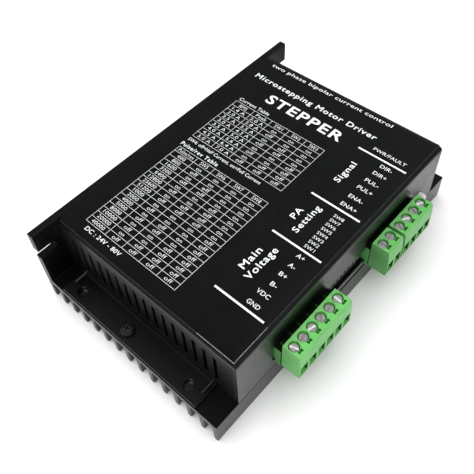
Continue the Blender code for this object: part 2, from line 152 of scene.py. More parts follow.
def carve(obj, bm, operation="DIFFERENCE"):
    bmesh.ops.recalc_face_normals(bm, faces=bm.faces)
    tool = mesh_object(obj.name + "_tool", bm)
    mod = obj.modifiers.new("carve", "BOOLEAN")
    mod.operation = operation
    mod.solver = "EXACT"
    mod.object = tool
    settle(obj)
    data = tool.data
    bpy.data.objects.remove(tool, do_unlink=True)
    bpy.data.meshes.remove(data)
    return obj


def add_box(bm, low, high):
    a, b = at(*low), at(*high)
    size, centre = b - a, (a + b) / 2
    return bmesh.ops.create_cube(
        bm, size=1.0, matrix=Matrix.Translation(centre) @ Matrix.Diagonal((*size, 1.0)))["verts"]


def add_taper(bm, low, high, low_in, high_in):
    """A box whose +y end is the smaller rectangle low_in..high_in (x, z pairs)."""
    verts = add_box(bm, low, high)
    far = at(*high).y
    a, b = at(*low), at(*high)
    c, d = at(low_in[0], 0, low_in[1]), at(high_in[0], 0, high_in[1])
    for v in verts:
        if abs(v.co.y - far) < 1e-7:
            v.co.x = c.x if abs(v.co.x - a.x) < abs(v.co.x - b.x) else d.x
            v.co.z = c.z if abs(v.co.z - a.z) < abs(v.co.z - b.z) else d.z
    return verts


def add_rod(bm, centre, axis, radius, length, sides=32, end_radius=None):
    turn = {"X": Matrix.Rotation(math.pi / 2, 4, "Y"),
            "Y": Matrix.Rotation(math.pi / 2, 4, "X"),
            "Z": Matrix.Identity(4)}[axis]
    return bmesh.ops.create_cone(
        bm, cap_ends=True, segments=sides, radius1=radius * MM,
        radius2=(radius if end_radius is None else end_radius) * MM, depth=length * MM,
        matrix=Matrix.Translation(at(*centre)) @ turn)["verts"]


def rounded(points, steps=4):
    """A closed outline with its corners rounded. Points are (u, v, radius)."""
    out = []
    count = len(points)
    for i, (u, v, r) in enumerate(points):
        here = Vector((u, v))
        before = Vector(points[i - 1][:2]) - here
        after = Vector(points[(i + 1) % count][:2]) - here
        if r <= 0:
            out.append((u, v))
            continue
        a, b = before.normalized(), after.normalized()
        half = math.acos(max(-1, min(1, a.dot(b)))) / 2
        reach = r / math.tan(half)
        limit = 0.49 * min(before.length, after.length)
        if reach > limit:
            reach = limit
            r = reach * math.tan(half)
        centre = here + (a + b).normalized() * (r / math.sin(half))
        start = (here + a * reach - centre)
        end = (here + b * reach - centre)
        total = math.atan2(start.x * end.y - start.y * end.x, start.dot(end))
        for k in range(steps + 1):
            t = total * k / steps
            c, s = math.cos(t), math.sin(t)
            p = centre + Vector((start.x * c - start.y * s, start.x * s + start.y * c))
            out.append((p.x, p.y))
    return out


def add_prism(bm, outline, low, high, axis="X", ends=0):
    """An outline carried along an axis. X: (y, z), Y: (x, z), Z: (x, y)."""
    def place(u, v, w):
        return {"X": at(w, u, v), "Y": at(u, w, v), "Z": at(u, v, w)}[axis]
    rings = [[bm.verts.new(place(u, v, w)) for u, v in outline] for w in (low, high)]
    caps = [bm.faces.new(rings[0]), bm.faces.new(list(reversed(rings[1])))]
    for face in caps:
        face.material_index = ends
    for i in range(len(outline)):
        j = (i + 1) % len(outline)
        bm.faces.new((rings[0][i], rings[1][i], rings[1][j], rings[0][j]))
    bmesh.ops.recalc_face_normals(bm, faces=bm.faces)
    return caps


def add_turned(bm, profile, centre, sides=32, axis="Z"):
    """A solid of revolution about an axis through centre: (radius, height) from
    the low axis point to the high one."""
    turn = {"Z": Matrix.Identity(4), "-Y": Matrix.Rotation(math.pi / 2, 4, "X"),
            "Y": Matrix.Rotation(-math.pi / 2, 4, "X")}[axis]
    world = Matrix.Translation(at(*centre)) @ turn
    rings = []
    for r, h in profile:
        if r <= 1e-6:
            rings.append([bm.verts.new(world @ Vector((0, 0, h * MM)))])
        else:
            rings.append([bm.verts.new(world @ Vector((
                r * MM * math.cos(2 * math.pi * k / sides),
                r * MM * math.sin(2 * math.pi * k / sides), h * MM))) for k in range(sides)])
    for a, b in zip(rings, rings[1:]):
        for k in range(sides):
            m = (k + 1) % sides
            if len(a) == 1 and len(b) == 1:
                continue
            if len(a) == 1:
                bm.faces.new((a[0], b[m], b[k]))
            elif len(b) == 1:
                bm.faces.new((a[k], a[m], b[0]))
            else:
                bm.faces.new((a[k], a[m], b[m], b[k]))
    bmesh.ops.recalc_face_normals(bm, faces=bm.faces)


def publish(obj, node_or_body, slot, *replaced):
    body = BODY.get(node_or_body, node_or_body)
    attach(obj, body)
    if replaced:
        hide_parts(*replaced)
    return obj


# ------------------------------------------------------------------ materials
class Surface:
    """A procedural finish: colours and roughness from noise in object space,
    bump from noise at one or more scales. Sizes are in millimetres."""

    def __init__(self, name, metallic=0.0, ior=1.5, coat=0.0, coat_rough=0.1, **sockets):
        self.mat = bpy.data.materials.new(name)
        self.mat.use_nodes = True
        self.tree = self.mat.node_tree
        self.bsdf = self.tree.nodes["Principled BSDF"]
        self.bsdf.inputs["Metallic"].default_value = metallic
        self.bsdf.inputs["IOR"].default_value = ior
        if coat:
            self.bsdf.inputs["Coat Weight"].default_value = coat
            self.bsdf.inputs["Coat Roughness"].default_value = coat_rough
        for socket, value in sockets.items():
            self.bsdf.inputs[socket.replace("_", " ")].default_value = value
        self.coords = self.tree.nodes.new("ShaderNodeTexCoord")
        self.normal = None

    def node(self, kind, **values):
        node = self.tree.nodes.new(kind)
        for key, value in values.items():
            setattr(node, key, value)
        return node

    def join(self, out, into):
        self.tree.links.new(out, into)
        return into

    def noise(self, size, detail=3.0, stretch=(1, 1, 1), rough=0.55, source="Object"):
        mapping = self.node("ShaderNodeMapping")
        mapping.inputs["Scale"].default_value = stretch
        self.join(self.coords.outputs[source], mapping.inputs["Vector"])
        noise = self.node("ShaderNodeTexNoise")
        noise.inputs["Scale"].default_value = 1.0 / (size * MM) if source == "Object" else size
        noise.inputs["Detail"].default_value = detail
        noise.inputs["Roughness"].default_value = rough
        self.join(mapping.outputs["Vector"], noise.inputs["Vector"])
        return noise.outputs["Fac"]

    def spread(self, value, low, high, frm=0.3, to=0.7):
        node = self.node("ShaderNodeMapRange")
        for socket, number in (("From Min", frm), ("From Max", to), ("To Min", low), ("To Max", high)):
            node.inputs[socket].default_value = number
        self.join(value, node.inputs["Value"])
        return node.outputs["Result"]

    def mix(self, factor, a, b):
        node = self.node("ShaderNodeMix", data_type="RGBA")
        self.join(factor, node.inputs[0])
        for value, socket in ((a, node.inputs[6]), (b, node.inputs[7])):
            if isinstance(value, tuple):
                socket.default_value = (*value, 1.0)
            else:
                self.join(value, socket)
        return node.outputs[2]

    def color(self, out):
        self.join(out, self.bsdf.inputs["Base Color"])
        return self

    def rough(self, out):
        self.join(out, self.bsdf.inputs["Roughness"])
        return self

    def bump(self, height, depth, strength=1.0):
        """depth is the real height of the relief in millimetres."""
        node = self.node("ShaderNodeBump")
        node.inputs["Strength"].default_value = strength
        node.inputs["Distance"].default_value = depth * MM
        self.join(height, node.inputs["Height"])
        if self.normal is not None:
            self.join(self.normal, node.inputs["Normal"])
        self.normal = node.outputs["Normal"]
        self.join(self.normal, self.bsdf.inputs["Normal"])
        return self

    def worn(self, base, bright, low=0.53, high=0.6, amount=0.6):
        """Slight wear on the convex edges."""
        geometry = self.node("ShaderNodeNewGeometry")
        edge = self.spread(geometry.outputs["Pointiness"], 0.0, amount, low, high)
        grain = self.spread(self.noise(0.35, 4.0), 0.0, 1.0, 0.35, 0.6)
        both = self.node("ShaderNodeMath", operation="MULTIPLY")
        self.join(edge, both.inputs[0])
        self.join(grain, both.inputs[1])
        return self.mix(both.outputs[0], base, bright)


def satin_paint(name="satin_black_paint", ior=1.57):
    s = Surface(name, ior=ior)
    base = s.mix(s.spread(s.noise(14.0, 4.0), 0, 1), (0.0010, 0.0013, 0.0012), (0.0024, 0.0029, 0.0027))
    s.color(s.worn(base, (0.035, 0.036, 0.035)))
    s.rough(s.spread(s.noise(5.0, 5.0), 0.29, 0.36))
    s.bump(s.noise(0.55, 2.0), 0.010, 0.5)
    s.bump(s.noise(0.12, 2.0), 0.004, 0.4)
    return s.mat


def anodised(name="anodised_black", streak=(0.035, 1, 1), light=1.0):
    """Black anodised extrusion with faint die lines along its length."""
    s = Surface(name, metallic=0.05, ior=1.46)
    base = s.mix(s.spread(s.noise(9.0, 4.0), 0, 1),
                 tuple(c * light for c in (0.0014, 0.0016, 0.0015)),
                 tuple(c * light for c in (0.0032, 0.0035, 0.0033)))
    s.color(s.worn(base, (0.045, 0.045, 0.045), 0.55, 0.66, 0.35))
    lines = s.noise(0.22, 3.0, streak, 0.6)
    s.rough(s.spread(lines, 0.26, 0.38))
    s.bump(lines, 0.012, 0.5)
    s.bump(s.noise(0.10, 2.0), 0.003, 0.35)
    return s.mat


def cut_end():
    """The sawn and anodised ends of the extrusion."""
    s = Surface("anodised_cut_end", metallic=0.30, ior=1.5)
    marks = s.noise(0.30, 3.0, (1, 1, 0.08), 0.6)
    s.color(s.mix(s.spread(marks, 0, 1), (0.018, 0.0185, 0.019), (0.050, 0.051, 0.052)))
    s.rough(s.spread(marks, 0.32, 0.5))
    s.bump(marks, 0.02, 0.5)
    return s.mat


def label_film():
    s = Surface("label_film_black", ior=1.46)
    dust = s.spread(s.noise(0.28, 1.0, rough=0.4), 0, 1, 0.80, 0.86)
    base = s.mix(s.spread(s.noise(22.0, 5.0), 0, 1), (0.0018, 0.0023, 0.0021), (0.0034, 0.0040, 0.0037))
    s.color(s.mix(dust, base, (0.10, 0.10, 0.10)))
    s.rough(s.spread(s.noise(11.0, 4.0), 0.20, 0.30))
    s.bump(s.noise(0.9, 2.0), 0.006, 0.35)
    return s.mat


# light grey finish for the film's cut rim, also used as a painted highlight on the film's outer wrapped band
def label_edge(name="label_cut_edge_and_glint", light=1.0):
    s = Surface(name, ior=1.5)
    s.color(s.mix(s.spread(s.noise(1.4, 4.0), 0, 1), tuple(c * light for c in (0.12, 0.125, 0.12)),
                  tuple(c * light for c in (0.34, 0.35, 0.34))))
    s.rough(s.spread(s.noise(0.6, 3.0), 0.30, 0.45))
    s.bump(s.noise(0.3, 2.0), 0.01, 0.4)
    return s.mat


def print_ink():
    s = Surface("printed_white_ink", ior=1.45)
    s.color(s.mix(s.spread(s.noise(0.35, 4.0), 0, 1), (0.74, 0.78, 0.77), (0.90, 0.92, 0.91)))
    s.rough(s.spread(s.noise(0.25, 3.0), 0.40, 0.55))
    s.bump(s.noise(0.12, 2.0), 0.004, 0.4)
    return s.mat


def green_nylon(name="green_nylon", light=1.0):
    s = Surface(name, ior=1.43, Subsurface_Weight=0.08, Subsurface_Scale=0.0006,
                Subsurface_Radius=(0.35, 1.0, 0.3))
    low = tuple(c * light for c in (0.118, 0.465, 0.100))
    high = tuple(c * light for c in (0.150, 0.545, 0.130))
    base = s.mix(s.spread(s.noise(4.0, 4.0), 0, 1), low, high)
    s.color(s.worn(base, tuple(c * light for c in (0.36, 0.68, 0.33)), 0.52, 0.62, 0.5))
    s.rough(s.spread(s.noise(1.2, 4.0), 0.34, 0.46))
    s.bump(s.noise(0.22, 3.0), 0.010, 0.4)
    s.bump(s.noise(2.2, 2.0), 0.02, 0.25)
    return s.mat


def turned_steel(name="plated_steel", base=(0.60, 0.595, 0.575), metallic=0.5):
    """Plated steel with fine turned rings about the local middle of its box."""
    s = Surface(name, metallic=metallic, ior=1.9)
    grime = s.spread(s.noise(0.8, 4.0), 0, 1)
    s.color(s.mix(grime, tuple(c * 0.66 for c in base), base))
    s.rough(s.spread(s.noise(0.45, 4.0), 0.26, 0.42))
    wave = s.node("ShaderNodeTexWave", wave_type="RINGS", rings_direction="Z")
    mapping = s.node("ShaderNodeMapping")
    mapping.inputs["Location"].default_value = (-0.5, -0.5, 0)
    s.join(s.coords.outputs["Generated"], mapping.inputs["Vector"])
    s.join(mapping.outputs["Vector"], wave.inputs["Vector"])
    wave.inputs["Scale"].default_value = 9.0
    wave.inputs["Distortion"].default_value = 1.5
    s.bump(wave.outputs["Fac"], 0.010, 0.5)
    s.bump(s.noise(0.15, 3.0), 0.004, 0.4)
    return s.mat


def black_oxide():
    s = Surface("black_oxide_steel", metallic=0.9, ior=1.8)
    s.color(s.worn(s.mix(s.spread(s.noise(0.9, 4.0), 0, 1), (0.045, 0.045, 0.046), (0.11, 0.11, 0.11)),
                   (0.35, 0.35, 0.34), 0.52, 0.60, 0.7))
    s.rough(s.spread(s.noise(0.4, 4.0), 0.20, 0.34))
    s.bump(s.noise(0.18, 3.0), 0.008, 0.5)
    return s.mat


def plastic(name, low, high, rough=(0.35, 0.5), grain=0.2, depth=0.008, **sockets):
    s = Surface(name, ior=1.5, **sockets)
    s.color(s.mix(s.spread(s.noise(2.5, 4.0), 0, 1), low, high))
    s.rough(s.spread(s.noise(0.9, 4.0), *rough))
    s.bump(s.noise(grain, 3.0), depth, 0.45)
    return s.mat


def laminate():
    """Green solder mask with copper tracks showing through it."""
    s = Surface("board_laminate", ior=1.52, coat=0.4, coat_rough=0.12)
    brick = s.node("ShaderNodeTexBrick", offset=0.37, squash=1.6, squash_frequency=3)
    brick.inputs["Scale"].default_value = 230.0
    brick.inputs["Mortar Size"].default_value = 0.09
    brick.inputs["Brick Width"].default_value = 1.7
    brick.inputs["Row Height"].default_value = 0.5
    s.join(s.coords.outputs["Object"], brick.inputs["Vector"])
    patches = s.spread(s.noise(9.0, 1.0), 0, 1, 0.46, 0.54)
    base = s.mix(s.spread(s.noise(3.0, 4.0), 0, 1), (0.006, 0.060, 0.022), (0.010, 0.085, 0.032))
    track = s.mix(brick.outputs["Fac"], base, (0.030, 0.17, 0.055))
    s.color(s.mix(patches, base, track))
    s.rough(s.spread(s.noise(0.7, 3.0), 0.24, 0.4))
    s.bump(brick.outputs["Fac"], 0.03, 0.4)
    return s.mat


def brass():
    s = Surface("plated_brass", metallic=1.0, ior=2.0)
    s.color(s.mix(s.spread(s.noise(0.9, 4.0), 0, 1), (0.42, 0.40, 0.33), (0.66, 0.63, 0.52)))
    s.rough(s.spread(s.noise(0.4, 4.0), 0.2, 0.4))
    s.bump(s.noise(0.2, 3.0), 0.01, 0.5)
    return s.mat


PAINT = satin_paint()
# painted shade: a less reflective copy of the paint for the folded bends
PAINT_BEND_SHADED = satin_paint("satin_black_paint_bend_painted_shade", 1.28)
ANODISED = anodised()
CUT_END = cut_end()
FILM = label_film()
# painted highlight: a light grey copy for the film's cut rim and the outer wrapped band near the front corners, and a
# dim copy for the same band further away
FILM_EDGE_AND_GLINT = label_edge()
FILM_GLINT_DIM = label_edge("label_glint_dim_painted", 0.13)
INK = print_ink()
GREEN = green_nylon()
GREEN_DEEP = green_nylon("green_nylon_header", 0.62)
# painted shade: a dark copy of the green for the insides of recesses and the faces towards the header
GREEN_SHADE = green_nylon("green_nylon_recess_painted_shade", 0.12)
# painted shade: a near-black, low-specular copy of the green for the header's roof, mouth, tray and keyways
GREEN_ROOF_SHADE = green_nylon("green_nylon_roof_painted_shade", 0.016)
GREEN_ROOF_SHADE.node_tree.nodes["Principled BSDF"].inputs["Specular IOR Level"].default_value = 0.15
# painted shade: a darker copy of the green for the walls of the test slots
GREEN_SLOT_SHADE = green_nylon("green_nylon_slot_painted_shade", 0.42)
GREEN_SIGNAL = green_nylon("green_nylon_signal", 0.88)
# painted shade: a darker copy of the green for the -x end faces of the signal plugs
GREEN_END_SHADED = green_nylon("green_nylon_end_painted_shade", 0.60)
STEEL = turned_steel()
# painted highlight and painted shade: a near-white and a darker copy of the steel for the faces of the screw slots
SLOT_GLINT_STEEL = turned_steel("steel_slot_painted_glint", (1.0, 1.0, 0.98), 0.0)
SLOT_SHADE_STEEL = turned_steel("steel_slot_painted_shade", (0.42, 0.42, 0.40), 0.3)
OXIDE = black_oxide()
BARE_SHEET = turned_steel("bare_cut_sheet", (0.42, 0.42, 0.41), 0.3)
BRASS = brass()
BOARD = laminate()
BLACK_PLASTIC = plastic("black_moulding", (0.008, 0.009, 0.009), (0.018, 0.019, 0.019))
SLIDER = plastic("slider_moulding", (0.060, 0.080, 0.066), (0.105, 0.130, 0.112), (0.30, 0.46))
LENS = plastic("milky_lens", (0.80, 0.84, 0.82), (0.90, 0.93, 0.91), (0.10, 0.2), 0.6, 0.003,
               Subsurface_Weight=0.5, Subsurface_Scale=0.0015, Transmission_Weight=0.15)
SLEEVE = plastic("capacitor_sleeve", (0.012, 0.020, 0.045), (0.020, 0.032, 0.065), (0.22, 0.34), 0.5)
SILICONE = plastic("grey_silicone_pad", (0.28, 0.29, 0.30), (0.38, 0.39, 0.40), (0.6, 0.75), 0.3, 0.02)

SLOT_FINISH = {
    "anodised_aluminium": ANODISED, "satin_paint": PAINT, "label_film": FILM,
    "board_laminate": BOARD, "green_plastic": GREEN, "plated_steel": STEEL,
    "plated_brass": BRASS, "white_plastic": SLIDER, "clear_lens": LENS,
    "capacitor_sleeve": SLEEVE, "grey_silicone": SILICONE, "black_plastic": BLACK_PLASTIC,
}


# ------------------------------------------------------------------ heatsink
def heatsink():
    pitch = (2 * HALF_Y - 2.0) / 14
    tip, root = 0.9, 1.15
    points = [(-HALF_Y, 0.0, 0.5), (-HALF_Y + 2 * tip, 0.0, 0.6), (-HALF_Y + 2 * root, PLATE_BOTTOM, 0.7)]
    for i in range(1, 14):
        y = -HALF_Y + 1.0 + pitch * i
        points += [(y - root, PLATE_BOTTOM, 0.7), (y - tip, 0.0, 0.6), (y + tip, 0.0, 0.6),
                   (y + root, PLATE_BOTTOM, 0.7)]
    points += [(HALF_Y - 2 * root, PLATE_BOTTOM, 0.7), (HALF_Y - 2 * tip, 0.0, 0.6), (HALF_Y, 0.0, 0.5)]
    # two shallow die lines on the outer face, and two on the top of the wall
    for z in (15.5, 38.2):
        points += [(HALF_Y, z - 0.35, 0), (HALF_Y - 0.18, z - 0.12, 0), (HALF_Y - 0.18, z + 0.12, 0), (HALF_Y, z + 0.35, 0)]
    points += [(HALF_Y, WALL_TOP, 0.35)]
    for y in (HALF_Y - 0.85, HALF_Y - WALL + 0.85):
        points += [(y + 0.16, WALL_TOP, 0), (y, WALL_TOP - 0.16, 0), (y - 0.16, WALL_TOP, 0)]
    points += [(HALF_Y - WALL, WALL_TOP, 0.35), (HALF_Y - WALL, PLATE_TOP, 0.6), (-HALF_Y, PLATE_TOP, 0.25)]
    bm = bmesh.new()
    add_prism(bm, rounded(points, 3), -HALF_X, HALF_X, "X", ends=1)
    obj = mesh_object("heatsink_extrusion", bm, [ANODISED, CUT_END])
    cuts = bmesh.new()
    for side in (-1, 1):
        a, b = sorted((side * (HALF_X + 1), side * (HALF_X - 8.0 + 2.2)))
        add_box(cuts, (a, HALF_Y - WALL - 1, 31.0 - 2.2), (b, HALF_Y + 1, 31.0 + 2.2))
    carve(obj, cuts)
    cuts = bmesh.new()
    for side in (-1, 1):
        add_rod(cuts, (side * (HALF_X - 8.0 + 2.2), HALF_Y - WALL / 2, 31.0), "Y", 2.196, 8.0, 40)
        for y in (-29.97, 29.97):
            add_rod(cuts, (side * 70.6, y, PLATE_TOP - 1), "Z", 2.1, 8.0, 32)
        add_rod(cuts, (side * 70.6, 3.0, PLATE_TOP - 1), "Z", 1.75, 8.0, 24)
    carve(obj, cuts)
    soften(obj, 0.16, 2, 40)
    publish(obj, "heatsink", "anodised_aluminium", "heatsink")

    # spacers under the board
    bm = bmesh.new()
    for x, y in ((-56.0, -28.0), (56.0, -28.0), (-56.0, 30.0), (56.0, 30.0)):
        add_turned(bm, [(1.75, 0.0), (3.2, 0.0), (3.2, 2.6), (3.0, 2.8), (1.9, 2.8), (1.75, 2.6), (1.75, 0.0)],
                   (x, y, PLATE_TOP), 28)
    bmesh.ops.remove_doubles(bm, verts=bm.verts, dist=1e-7)
    obj = mesh_object("board_spacers", bm, [ANODISED])
    soften(obj, 0.0, angle=35)
    publish(obj, "heatsink", "anodised_aluminium")


# ------------------------------------------------------------------ cover
def folded_box(low, high, radius, segments):
    """A box with its three folded top edges rounded; the back stays square."""
    bm = bmesh.new()
    add_box(bm, low, high)
    top = max(v.co.z for v in bm.verts)
    back = max(v.co.y for v in bm.verts)
    edges = [e for e in bm.edges
             if all(abs(v.co.z - top) < 1e-7 for v in e.verts)
             and not all(abs(v.co.y - back) < 1e-7 for v in e.verts)]
    bmesh.ops.bevel(bm, geom=edges, offset=radius * MM, segments=segments, profile=0.5,
                    affect="EDGES", clamp_overlap=True)
    return bm


def cover():
    obj = mesh_object("cover_sheet", folded_box((-COVER_X, COVER_FRONT, COVER_BOTTOM),
                                                (COVER_X, COVER_BACK, COVER_TOP), BEND, 12), [PAINT, BARE_SHEET, PAINT_BEND_SHADED])
    carve(obj, folded_box((-COVER_X + SHEET, COVER_FRONT + SHEET, COVER_BOTTOM - 3),
                          (COVER_X - SHEET, COVER_BACK + 3, COVER_TOP - SHEET), BEND - SHEET, 12))
    # feet: the side walls turn outwards with an inside radius
    cuts = bmesh.new()
    for side in (-1, 1):
        a, b = sorted((side * (COVER_X - SHEET - 0.5), side * (COVER_X + 0.5)))
        add_box(cuts, (a, -37.2, COVER_BOTTOM - 1), (b, 37.2, COVER_BOTTOM + 2.4))
    carve(obj, cuts)
    feet = bmesh.new()
    for side in (-1, 1):
        inner = COVER_X - SHEET
        base = [(inner, COVER_BOTTOM + 2.6)]
        for k in range(7):
            a = -math.pi / 2 * k / 6
            base.append((COVER_X + SHEET - 2.4 * math.cos(a), COVER_BOTTOM + 2.4 + 2.4 * math.sin(a)))
        base += [(FLANGE_X, COVER_BOTTOM), (FLANGE_X, COVER_BOTTOM + SHEET)]
        for k in range(7):
            a = -math.pi / 2 * (6 - k) / 6
            base.append((COVER_X + SHEET - 1.2 * math.cos(a), COVER_BOTTOM + 2.4 + 1.2 * math.sin(a)))
        base.append((COVER_X, COVER_BOTTOM + 2.6))
        add_prism(feet, [(side * x, z) for x, z in base], -37.2, 37.2, "Y")
    carve(obj, feet, "UNION")
    cuts = bmesh.new()
    for side in (-1, 1):
        a, b = sorted((side * (COVER_X - SHEET - 1), side * (COVER_X + 1)))
        for i in range(16):
            y = (i - 7.5) * 5.0
            outline = rounded([(y - 0.8, 17.7, 0.7), (y + 0.8, 17.7, 0.7), (y + 0.8, 35.0, 0.7), (y - 0.8, 35.0, 0.7)], 5)
            add_prism(cuts, outline, a, b, "X")
        # relief slits at the ends of the feet, and the seams of the corners
        a, b = sorted((side * (COVER_X - SHEET - 1), side * 69.7))
        for y in (-35.7, 35.7):
            verts = add_box(cuts, (a, y - 0.45, COVER_BOTTOM - 1), (b, y + 0.45, COVER_BOTTOM + 2.2))
            for face in {f for v in verts for f in v.link_faces}:
                face.material_index = 1
        a, b = sorted((side * (COVER_X - 0.35), side * (COVER_X + 1)))
        add_box(cuts, (a, COVER_FRONT + SHEET - 0.06, COVER_BOTTOM - 1),
                (b, COVER_FRONT + SHEET + 0.06, COVER_TOP - BEND))
    add_box(cuts, (-45.1, COVER_FRONT - 1, 17.2), (46.6, COVER_FRONT + 3, 26.0))
    add_box(cuts, (-42.0, COVER_FRONT - 1, COVER_BOTTOM - 1), (42.0, COVER_FRONT + 3, COVER_BOTTOM + 1.25))
    carve(obj, cuts)
    cuts = bmesh.new()
    for side in (-1, 1):
        for y in (-29.97, 29.97):
            add_rod(cuts, (side * 70.6, y, COVER_BOTTOM), "Z", 2.3, 6.0, 36)
        add_rod(cuts, (side * 70.6, 3.0, COVER_BOTTOM), "Z", 1.8, 6.0, 24)
    led_low, led_high = span("status_led")
    add_rod(cuts, ((led_low.x + led_high.x) / 2, COVER_FRONT, 21.5), "Y", 1.9, 6.0, 32)
    carve(obj, cuts)
    back = bmesh.new()
    add_prism(back, [(COVER_BACK - 0.55, COVER_TOP + 0.2), (COVER_BACK + 0.2, COVER_TOP - 0.55),
                     (COVER_BACK + 0.2, COVER_TOP + 0.2)], -COVER_X - 1, COVER_X + 1, "X")
    carve(obj, back)
    soften(obj, 0.14, 2, 40)
    # stand-in, painted shade: the photo shows the bends darker than the flat faces beside them, so the bend faces take
    # a less reflective copy of the paint
    for face in obj.data.polygons:
        n = face.normal
        least = 0.17 if abs(n.x) > abs(n.y) else 0.24
        if face.material_index == 0 and least < n.z < 0.80 and face.center.z > at(0, 0, COVER_TOP - BEND).z:
            face.material_index = 2
    publish(obj, "cover", "satin_paint", "cover")


# ------------------------------------------------------------------ label
FILM_TOP = LABEL_HIGH.z - 0.08
WRAP = math.radians(52)
FRONT_WRAP = math.radians(41)


def film():
    """The printed film: flat on the top, wrapped partly down the folded edges."""
    centre_x, centre_y = COVER_X - BEND, COVER_FRONT + BEND
    centre_z = COVER_TOP - BEND
    outer, inner = BEND + FILM_TOP - COVER_TOP, BEND + 0.03
    back = LABEL_HIGH.y
    steps = 9
    angles = [WRAP * (1 - k / steps) for k in range(steps)] + [0.0]
    angles.insert(1, WRAP - math.radians(4.0))
    columns = [(-centre_x, a) for a in angles] + [(-46.5, 0.0)] + [(centre_x, a) for a in reversed(angles)]
    front = [a * FRONT_WRAP / WRAP for a in angles]
    rows = [(centre_y, a) for a in front] + [(centre_y + 14, 0.0), (centre_y + 34, 0.0), (back, 0.0)]
    corner = len(angles) - 1

    def sheet(bm, radius):
        grid = []
        for y0, b in rows:
            line = []
            for x0, a in columns:
                sx = 1 if x0 > 0 else -1
                x = x0 + sx * radius * math.sin(a)
                y = y0 - radius * math.sin(b)
                z = centre_z + radius * min(math.cos(a), math.cos(b))
                line.append(bm.verts.new(at(x, y, z)))
            grid.append(line)
        return grid

    bm = bmesh.new()
    top, low = sheet(bm, outer), sheet(bm, inner)
    nr, nc = len(rows), len(columns)
    for grid, flip in ((top, False), (low, True)):
        for i in range(nr - 1):
            for j in range(nc - 1):
                q = [grid[i][j], grid[i][j + 1], grid[i + 1][j + 1], grid[i + 1][j]]
                # painted highlight: the outermost wrapped band is light grey near the front corners and dim further
                # from them
                edge = 0 if i or flip else 1 if j <= corner else 2
                if (j == 0 or j == nc - 2) and i and not flip:
                    edge = 1 if i <= corner else 2
                left, right = j < corner, (nc - 2 - j) < corner
                parts = [q]
                if (left and i == j) or (right and i == nc - 2 - j):
                    parts = [[q[0], q[1], q[2]], [q[0], q[2], q[3]]] if left else [[q[0], q[1], q[3]], [q[1], q[2], q[3]]]
                for part in parts:
                    face = bm.faces.new(part if not flip else list(reversed(part)))
                    face.material_index = edge
    # the cut rim: a real cut edge, made light grey as painted highlight
    rim = [(i, 0) for i in range(nr - 1, -1, -1)] + [(0, j) for j in range(1, nc)] \
        + [(i, nc - 1) for i in range(1, nr)] + [(nr - 1, j) for j in range(nc - 2, 0, -1)]
    for k, (i, j) in enumerate(rim):
        m, n = rim[(k + 1) % len(rim)]
        face = bm.faces.new((top[i][j], low[i][j], low[m][n], top[m][n]))
        face.material_index = 1
    bmesh.ops.recalc_face_normals(bm, faces=bm.faces)
    obj = mesh_object("label_sheet", bm, [FILM, FILM_EDGE_AND_GLINT, FILM_GLINT_DIM])
    soften(obj, 0.0, angle=45)
    publish(obj, "label_overlay", "label_film", "label_overlay")


# ------------------------------------------------------------------ print
INK_LOW = FILM_TOP - 0.02
INK_THICK = 0.05


class Print:
    """White ink on the film: lettering and rules, gathered into one piece."""

    def __init__(self):
        self.bm = bmesh.new()
        self.cap = None

    def glyphs(self, text, weight):
        curve = bpy.data.curves.new("lettering", "FONT")
        curve.body = text
        curve.size = 1.0
        curve.resolution_u = 3
        curve.offset = weight
        curve.space_character = 1.14 if weight >= 0.010 else 1.05
        obj = link(bpy.data.objects.new("lettering", curve))
        bpy.context.view_layer.update()
        graph = bpy.context.evaluated_depsgraph_get()
        mesh = bpy.data.meshes.new_from_object(obj.evaluated_get(graph))
        bpy.data.objects.remove(obj, do_unlink=True)
        bpy.data.curves.remove(curve)
        return mesh

    def write(self, text, x, y, length, height, reading="down", weight=0.0):
        """Centred at (x, y). Reads towards -y with its top at +x, or towards +x
        with its top at +y."""
        if self.cap is None:
            sample = self.glyphs("H", 0.0)
            self.cap = max(v.co.y for v in sample.vertices)
            bpy.data.meshes.remove(sample)
        mesh = self.glyphs(text, weight)
        us = [v.co.x for v in mesh.vertices]
        wide = max(us) - min(us)
        sy = height / self.cap
        sx = (length / wide) if length else sy
        middle = (max(us) + min(us)) / 2
        for v in mesh.vertices:
            u = (v.co.x - middle) * sx
            w = (v.co.y - self.cap / 2) * sy
            v.co = at(x + w, y - u, INK_LOW) if reading == "down" else at(x + u, y + w, INK_LOW)
        self.bm.from_mesh(mesh)
        bpy.data.meshes.remove(mesh)
        return wide * sx

    def rule(self, x0, y0, x1, y1, wide):
        """A straight line of ink parallel to x or y."""
        if abs(x1 - x0) < abs(y1 - y0):
            corners = ((x0 - wide / 2, y0), (x0 + wide / 2, y0), (x0 + wide / 2, y1), (x0 - wide / 2, y1))
        else:
            corners = ((x0, y0 - wide / 2), (x1, y0 - wide / 2), (x1, y0 + wide / 2), (x0, y0 + wide / 2))
        face = self.bm.faces.new([self.bm.verts.new(at(x, y, INK_LOW)) for x, y in corners])
        face.normal_update()
        if face.normal.z < 0:
            face.normal_flip()

    def done(self, name):
        obj = mesh_object(name, self.bm, [INK])
        mod = obj.modifiers.new("thick", "SOLIDIFY")
        mod.thickness = INK_THICK * MM
        mod.offset = 1.0
        settle(obj)
        obj.data.shade_flat()
        publish(obj, "label_overlay", "label_film")
        return obj


LINE = 0.14


def table(sheet, top, bottom, columns, head, rows, text_wide):
    """A ruled table whose rows run towards -x. Columns are the y of its rulings."""
    count = len(rows) + 1
    step = (top - bottom) / count
    for i in range(count + 1):
        x = top - step * i
        sheet.rule(x, columns[0], x, columns[-1], LINE)
    for y in columns:
        sheet.rule(bottom, y, top, y, LINE)
    for i, cells in enumerate([head] + rows):
        x = top - step * (i + 0.5)
        for j, cell in enumerate(cells):
            y = (columns[j] + columns[j + 1]) / 2
            natural = 1.62 if i else 1.75
            sheet.write(cell, x, y, text_wide(cell, i, j), natural, "down", -0.010)


